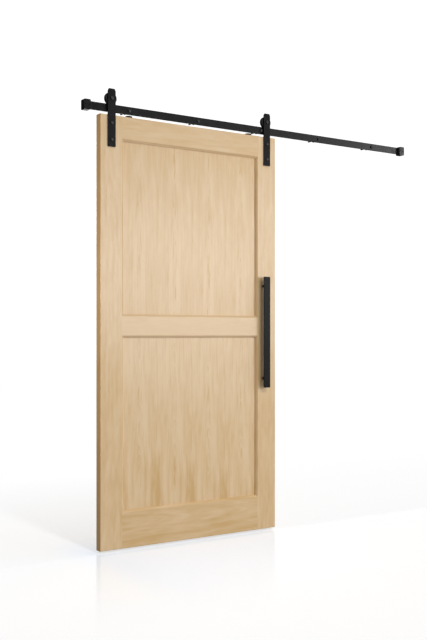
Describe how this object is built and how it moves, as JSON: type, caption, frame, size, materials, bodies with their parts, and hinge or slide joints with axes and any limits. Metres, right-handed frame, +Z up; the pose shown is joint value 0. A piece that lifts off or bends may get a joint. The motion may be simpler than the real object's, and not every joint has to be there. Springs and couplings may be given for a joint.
{
  "type": "sliding barn door",
  "caption": "Framed and panelled wooden door leaf on strap hangers with grooved wheels, rolling along a flat wall track between rubber-faced end stops.",
  "frame": {"origin": "middle lag bolt of the track, on its axis at the wall plane", "axes": "+X along the track, to the right seen from the room; -Y faces the room, +Y into the wall; +Z up"},
  "size_m": [2.134, 0.143, 2.261],
  "materials": {
    "stile_wood": "clear satin lacquer, grain upright",
    "rail_wood": "clear satin lacquer, grain across",
    "panel_wood": "clear satin lacquer, figured grain upright",
    "dowel_wood": "bare beech",
    "black_steel": "matt black powder coat",
    "black_fasteners": "satin black",
    "black_nylon": "matt moulded nylon",
    "black_rubber": "matt",
    "bearing_steel": "ground steel"
  },
  "bodies": {
    "track": {"track_bar": "black_steel", "wall_spacers": "black_steel", "lag_bolts": "black_fasteners", "lag_washers": "black_fasteners", "end_stop_left": "black_steel", "end_stop_right": "black_steel", "stop_bumpers": "black_rubber", "stop_screws": "black_fasteners"},
    "door": {"left_stile": "stile_wood", "right_stile": "stile_wood", "top_rail": "rail_wood", "mid_rail": "rail_wood", "bottom_rail": "rail_wood", "upper_panel": "panel_wood", "lower_panel": "panel_wood", "rail_dowels": "dowel_wood", "left_strap": "black_steel", "right_strap": "black_steel", "strap_bolts": "black_fasteners", "strap_washers": "black_fasteners", "strap_nuts": "black_fasteners", "axle_bolts": "black_fasteners", "axle_bushes": "bearing_steel", "axle_washers": "black_fasteners", "axle_nuts": "black_fasteners", "bearing_inner_rings": "bearing_steel", "anti_jump_discs": "black_nylon", "disc_screws": "black_fasteners", "handle_bar": "black_steel", "upper_standoff": "black_steel", "lower_standoff": "black_steel", "handle_bolts": "black_fasteners", "handle_washers": "black_fasteners"},
    "roller_left": {"left_wheel": "black_nylon", "left_bearing_ring": "bearing_steel", "left_bearing_balls": "bearing_steel"},
    "roller_right": {"right_wheel": "black_nylon", "right_bearing_ring": "bearing_steel", "right_bearing_balls": "bearing_steel"}
  },
  "joints": [
    {"name": "door_slide", "type": "slide", "parent": "track", "child": "door", "axis": [1, 0, 0], "range_m": [-0.0867, 0.9737]},
    {"name": "left_wheel_spin", "type": "hinge", "parent": "door", "child": "roller_left", "pos_m": [-0.917, -0.047, 0.0473], "axis": [0, 1, 0], "range_deg": [-192, 2078]},
    {"name": "right_wheel_spin", "type": "hinge", "parent": "door", "child": "roller_right", "pos_m": [0.03, -0.047, 0.0473], "axis": [0, 1, 0], "range_deg": [-192, 2078]}
  ],
  "couplings": [
    {"joint": "left_wheel_spin", "follows": "door_slide", "rad_per_m": 37.037},
    {"joint": "right_wheel_spin", "follows": "door_slide", "rad_per_m": 37.037}
  ]
}
